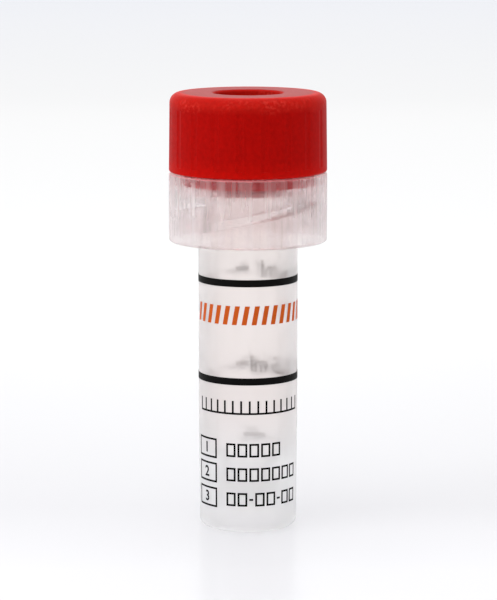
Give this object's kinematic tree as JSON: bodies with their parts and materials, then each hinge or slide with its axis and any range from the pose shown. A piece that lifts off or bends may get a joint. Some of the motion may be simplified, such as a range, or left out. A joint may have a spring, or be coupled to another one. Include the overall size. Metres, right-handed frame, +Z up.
{
  "type": "blood collection tube",
  "caption": "Small translucent blood collection tube that stands on its own foot, with a fluted collar round its neck and a red plug cap with a central well and shallow grip grooves.",
  "frame": {"origin": "centre of the foot, on the surface that the tube stands on", "axes": "+Z up along the tube's axis, towards the cap; -Y is the printed front"},
  "size_m": [0.0159, 0.0158, 0.0441],
  "materials": {
    "tube_plastic": "translucent satin",
    "cap_plastic": "matte",
    "ink_black": "screen-printed ink",
    "ink_orange": "screen-printed ink"
  },
  "bodies": {
    "tube": {"tube": "tube_plastic"},
    "cap": {"cap": "cap_plastic"}
  },
  "joints": [
    {"name": "cap_lift", "type": "slide", "parent": "tube", "child": "cap", "axis": [0, 0, 1], "range_m": [0, 0.016]}
  ]
}
